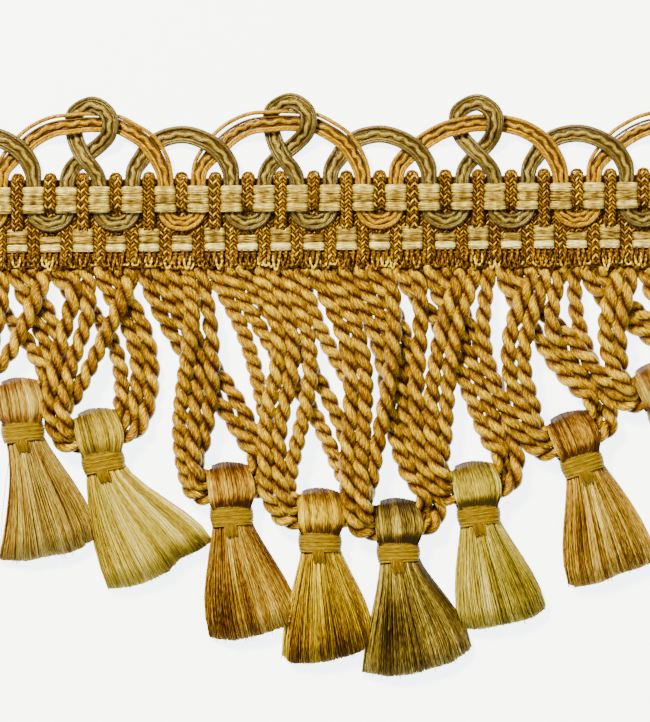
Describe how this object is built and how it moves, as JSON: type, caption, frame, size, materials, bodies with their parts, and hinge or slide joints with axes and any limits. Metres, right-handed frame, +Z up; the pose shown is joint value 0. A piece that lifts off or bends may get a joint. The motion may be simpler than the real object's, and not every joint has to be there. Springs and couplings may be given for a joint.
{
  "type": "tassel fringe",
  "caption": "Length of upholstery trim lying flat: looped gimp scrolls on a woven heading, twisted bullion cords below it and bound tassels hanging from the cords' loops.",
  "frame": {"origin": "under the middle of the whole piece's box, on the surface that it lies on", "axes": "+X along the heading, +Y away from the tassels toward the scrolls, +Z up out of the trim's face"},
  "size_m": [0.1575, 0.1156, 0.0082],
  "materials": {
    "ivory_satin": "satin weft yarn",
    "gold_gimp": "smooth and crimped gimp cord",
    "olive_gimp": "smooth and crimped gimp cord",
    "bullion": "two-ply twisted cord",
    "tassel_cream": "cut viscose yarn",
    "tassel_pale": "cut viscose yarn",
    "tassel_rust": "cut viscose yarn",
    "tassel_gold": "cut viscose yarn",
    "tassel_olive": "cut viscose yarn",
    "gold_thread": "wound thread"
  },
  "bodies": {
    "root": {"heading_braid": "ivory_satin", "scroll_gold": "gold_gimp", "scroll_olive": "olive_gimp", "bullion_fringe": "bullion", "tassel_0": "tassel_cream", "tassel_1": "tassel_pale", "tassel_2": "tassel_rust", "tassel_3": "tassel_gold", "tassel_4": "tassel_olive", "tassel_5": "tassel_pale", "tassel_6": "tassel_rust", "tassel_7": "tassel_cream", "binding_0": "gold_thread", "binding_1": "gold_thread", "binding_2": "gold_thread", "binding_3": "gold_thread", "binding_4": "gold_thread", "binding_5": "gold_thread", "binding_6": "gold_thread", "binding_7": "gold_thread"}
  },
  "joints": []
}
